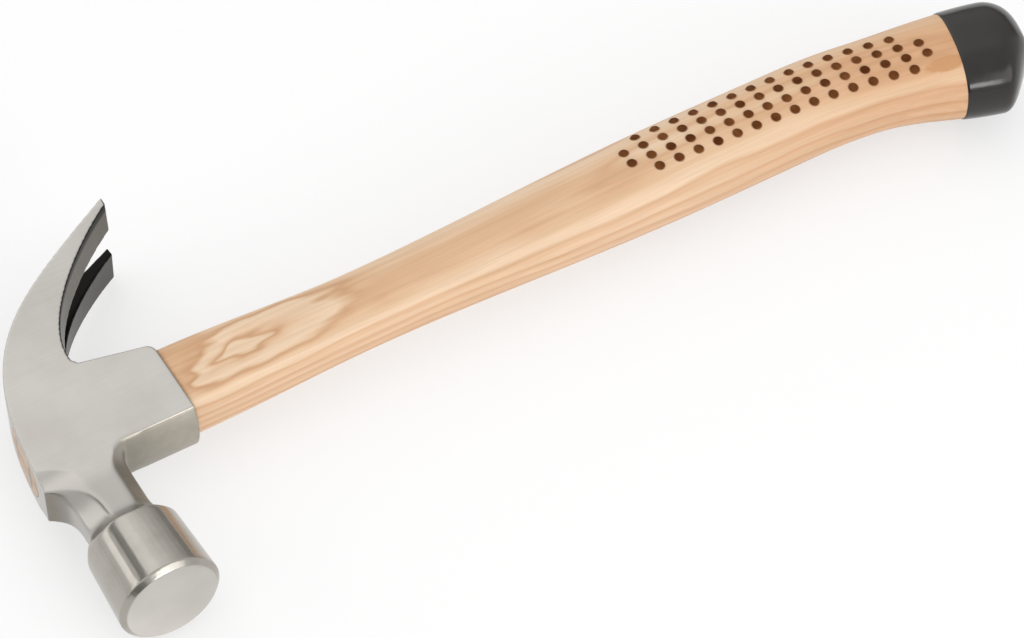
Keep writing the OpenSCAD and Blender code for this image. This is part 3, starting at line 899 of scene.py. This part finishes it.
def end_grain_material():
    """Pale end grain at the crown, with fine pores along its yearly layers."""
    material, tree, shader = new_material("ash_end_grain", Specular_IOR_Level=END_SPECULAR)
    grain = grain_places(tree)
    pores = noise(tree, grain, PORE_NOISE)
    layers = ramp(tree, noise(tree, grain, END_LAYER_NOISE), END_COLOURS)
    colour = tinted(tree, layers, grey_ramp(tree, pores, PORE_LEVELS))
    rough = spread(tree, pores, NOISE_ENDS, BARE_WOOD_ROUGHNESS)
    set_surface(tree, shader, colour, rough, pores, PORE_RELIEF)
    return material


def mottled_material(name, kind, colours, roughness, relief, **settings):
    """A material whose colour, roughness and relief follow one noise."""
    material, tree, shader = new_material(name, **settings)
    mottle = noise(tree, millimetres(tree), kind)
    rough = spread(tree, mottle, NOISE_ENDS, roughness)
    set_surface(tree, shader, noise_ramp(tree, mottle, colours), rough, mottle, relief)
    return material


def dip_material():
    return mottled_material("dip_coat", DIP_NOISE, DIP_COLOURS, DIP_ROUGHNESS, DIP_RELIEF)


def wedge_wood_material():
    return mottled_material(
        "wedge_hardwood", WEDGE_WOOD_NOISE, WEDGE_WOOD_COLOURS, BARE_WOOD_ROUGHNESS, WEDGE_RELIEF)


def wedge_steel_material():
    return mottled_material(
        "wedge_steel", WEDGE_STEEL_NOISE, WEDGE_STEEL_COLOURS, WEDGE_STEEL_ROUGHNESS, WEDGE_RELIEF,
        Metallic=1.0)


def paper_material():
    """White paper that keeps shadows, part of which is an even white to the camera and in reflections."""
    shade = opaque(grey(FLOOR_LEVEL))
    material, tree, shader = new_material("paper", Base_Color=shade, Specular_IOR_Level=0.0)
    fibres = warp(tree, millimetres(tree), PAPER_NOISE, PAPER_ROUGHNESS)
    tree.links.new(fibres, shader.inputs["Roughness"])
    ray = add_node(tree, "ShaderNodeLightPath").outputs
    mirrored = math_node(tree, "MAXIMUM", ray["Is Glossy Ray"], ray["Is Transmission Ray"])
    seen = math_node(tree, "MAXIMUM", ray["Is Camera Ray"], mirrored)
    share = math_node(tree, "MULTIPLY", seen, FLOOR_WHITE_SHARE)
    white = add_node(tree, "ShaderNodeEmission", {"Strength": 1.0})
    surface = add_node(tree, "ShaderNodeMixShader", {0: share, 1: shader.outputs[0], 2: white.outputs[0]})
    tree.links.new(surface.outputs[0], tree.nodes["Material Output"].inputs["Surface"])
    return material


# Studio


def make_panel():
    """A lamp panel with an even radiance, aimed at the middle of the frame."""
    lamp = bpy.data.lights.new("panel", "AREA")
    lamp.shape = "RECTANGLE"
    lamp.size = PANEL_W
    lamp.size_y = PANEL_H
    lamp.energy = PANEL_RADIANCE * math.pi * PANEL_W * PANEL_H
    panel = add_object("panel", lamp)
    panel.location = PANEL_HEADING * PANEL_DISTANCE
    panel.rotation_mode = "QUATERNION"
    panel.rotation_quaternion = (-panel.location).to_track_quat("-Z", "Y")


def make_floor():
    """A wide sheet of paper under the hammer."""
    mesh = bpy.data.meshes.new("floor")
    signs = [(-1, -1), (1, -1), (1, 1), (-1, 1)]
    mesh.from_pydata([(x * FLOOR_REACH, y * FLOOR_REACH, 0) for x, y in signs], [], [(0, 1, 2, 3)])
    add_object("floor", mesh)
    mesh.materials.append(paper_material())


def lit_spot(tree, wall, heading, spot, ends, level):
    """A wall with a round spot of another level on it."""
    facing = add_node(tree, "ShaderNodeVectorMath", {0: heading, 1: spot}, operation="DOT_PRODUCT")
    share = spread(tree, facing.outputs["Value"], ends, interpolation="SMOOTHSTEP")
    return mix_colour(tree, share, wall, opaque(grey(level)))


def make_world():
    """Soft studio walls: the far one has a dark gap and a bright panel, the near one a flag and a glow."""
    world = bpy.data.worlds.new("studio")
    bpy.context.scene.world = world
    world.use_nodes = True
    tree = world.node_tree
    heading = add_node(tree, "ShaderNodeTexCoord").outputs["Generated"]
    x, y, z = parted(tree, heading)
    half_turns = math_node(tree, "DIVIDE", math_node(tree, "ARCTAN2", z, x), math.pi)
    far = grey_ramp(tree, half_turns, [(degrees / HALF_TURN, level) for degrees, level in FAR_WALL])
    near = lit_spot(tree, opaque(grey(NEAR_LEVEL)), heading, FLAG_HEADING, FLAG_ENDS, FLAG_LEVEL)
    near = lit_spot(tree, near, heading, GLOW_HEADING, GLOW_ENDS, GLOW_LEVEL)
    side = spread(tree, y, WALL_JOIN, interpolation="SMOOTHSTEP")
    background = tree.nodes["Background"]
    tree.links.new(mix_colour(tree, side, near, far), background.inputs["Color"])
    background.inputs["Strength"].default_value = WORLD_STRENGTH


def make_camera():
    """A camera where the photographer stood."""
    camera = add_object("camera", bpy.data.cameras.new("camera"))
    camera.data.sensor_width = SENSOR_W
    camera.data.lens = CAMERA_LENS
    back = Vector((
        math.sin(CAMERA_AZIMUTH) * math.cos(CAMERA_ELEVATION),
        -math.cos(CAMERA_AZIMUTH) * math.cos(CAMERA_ELEVATION),
        math.sin(CAMERA_ELEVATION),
    ))
    camera.location = AXES + CAMERA_TARGET + back * CAMERA_DISTANCE
    camera.rotation_mode = "QUATERNION"
    camera.rotation_quaternion = (-back).to_track_quat("-Z", "Y")
    bpy.context.scene.camera = camera


def paint(piece, *materials):
    piece.data.materials.clear()
    for material in materials:
        piece.data.materials.append(material)


def char_dots(piece):
    """Give the faces in the dots the second material of a piece."""
    burn = np.zeros(len(piece.data.vertices), np.float32)
    piece.data.attributes["burn"].data.foreach_get("value", burn)
    corners = np.zeros(len(piece.data.loops), np.int32)
    piece.data.loops.foreach_get("vertex_index", corners)
    starts = np.zeros(len(piece.data.polygons), np.int32)
    piece.data.polygons.foreach_get("loop_start", starts)
    charred = burn[corners[starts]] > CHAR_LIMIT
    piece.data.polygons.foreach_set("material_index", charred.astype(np.int32))


make_camera()
make_floor()
make_world()
make_panel()
paint(make_head(), steel_material())
handle = make_handle()
paint(handle, ash_material("lacquered_ash", ASH_SPECULAR), ash_material("burnt_ash", CHAR_SPECULAR))
char_dots(handle)
paint(make_tenon(), end_grain_material())
paint(make_dip(), dip_material())
paint(nodes["wood_wedge"], wedge_wood_material())
wedge_steel = wedge_steel_material()
for wedge in ("steel_wedge_front", "steel_wedge_back"):
    paint(nodes[wedge], wedge_steel)
bpy.context.scene.view_settings.view_transform = "Standard"
